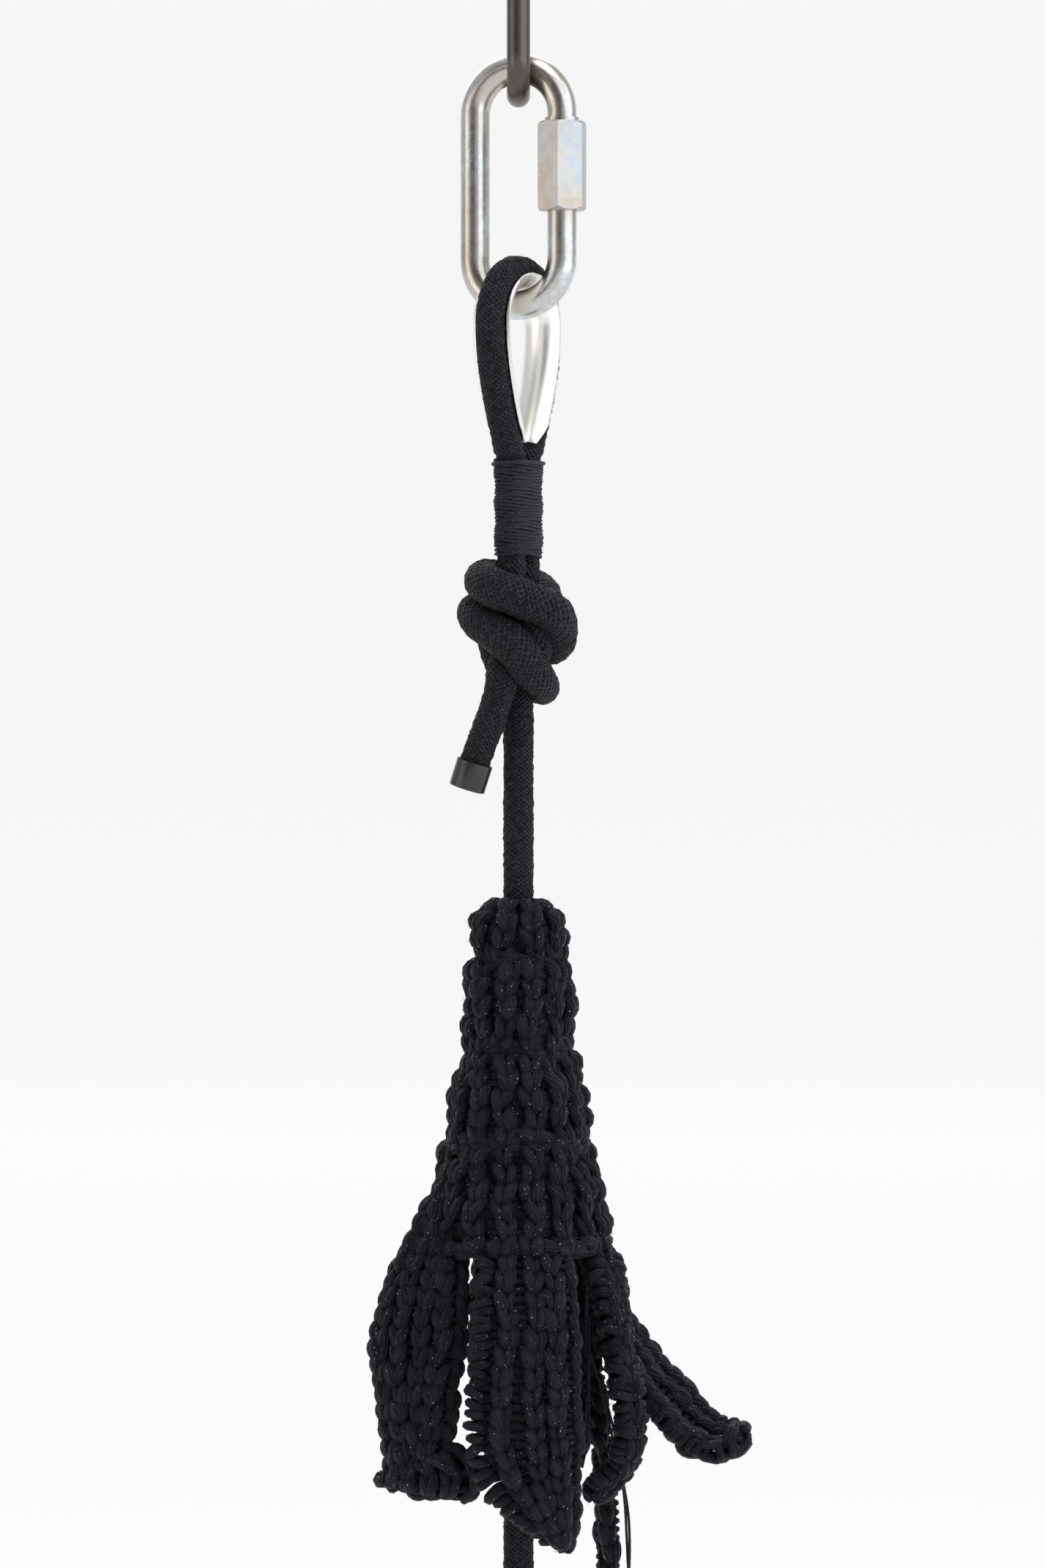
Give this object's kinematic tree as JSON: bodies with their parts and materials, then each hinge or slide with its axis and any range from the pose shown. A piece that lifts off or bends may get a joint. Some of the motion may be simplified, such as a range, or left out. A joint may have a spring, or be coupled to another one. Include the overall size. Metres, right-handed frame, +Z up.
{
  "type": "hanging rope with quick link",
  "caption": "Knotted black cotton rope hanging from a threaded eye by a zinc quick link and thimble, with a crocheted tiered bell and petals at its lower end.",
  "frame": {"origin": "on the hanger shank's axis, at the underside of the beam that it passes through (the washer's top face)", "axes": "+Z up along the shank, -Y towards the viewer of the picture, +X to the viewer's right"},
  "size_m": [0.1287, 0.0815, 0.612],
  "materials": {
    "gunmetal": "dark bronze-grey, satin",
    "zinc": "zinc plated, satin",
    "steel": "bright steel",
    "rope_cotton": "black braided cotton",
    "whipping_cord": "thin black cord",
    "cap_black": "satin black",
    "yarn": "thick black yarn with tiny pale flecks"
  },
  "bodies": {
    "hanger": {"hanger_eye": "gunmetal", "hanger_nut": "zinc", "hanger_washer": "zinc"},
    "link": {"link_body": "zinc"},
    "sleeve": {"link_sleeve_nut": "zinc"},
    "rope": {"thimble": "steel", "rope": "rope_cotton", "whipping": "whipping_cord", "tail_cap": "cap_black", "lower_cap": "cap_black", "stop_winding": "whipping_cord"},
    "bell": {"bell_crown": "yarn", "bell_tier_2": "yarn", "bell_tier_3": "yarn", "bell_tier_4": "yarn", "petal_left": "yarn", "petal_front": "yarn", "petal_curl": "yarn", "petal_right": "yarn", "petal_side_left": "yarn", "petal_back_left": "yarn", "petal_back_right": "yarn", "hanging_strip": "yarn", "yarn_tail_long": "yarn", "yarn_tail_short": "yarn"}
  },
  "joints": [
    {"name": "link_swing", "type": "hinge", "parent": "hanger", "child": "link", "pos_m": [0, 0, -0.0651], "axis": [0, 1, 0], "range_deg": [-25, 25]},
    {"name": "sleeve_slide", "type": "slide", "parent": "link", "child": "sleeve", "axis": [0, 0, -1], "range_m": [0, 0.0145]},
    {"name": "eye_swing", "type": "hinge", "parent": "link", "child": "rope", "pos_m": [0, 0, -0.1353], "axis": [0.9397, -0.342, 0], "range_deg": [-30, 30]},
    {"name": "bell_turn", "type": "hinge", "parent": "rope", "child": "bell", "pos_m": [0, 0, -0.346], "axis": [0, 0, 1], "range_deg": [-30, 30]}
  ]
}
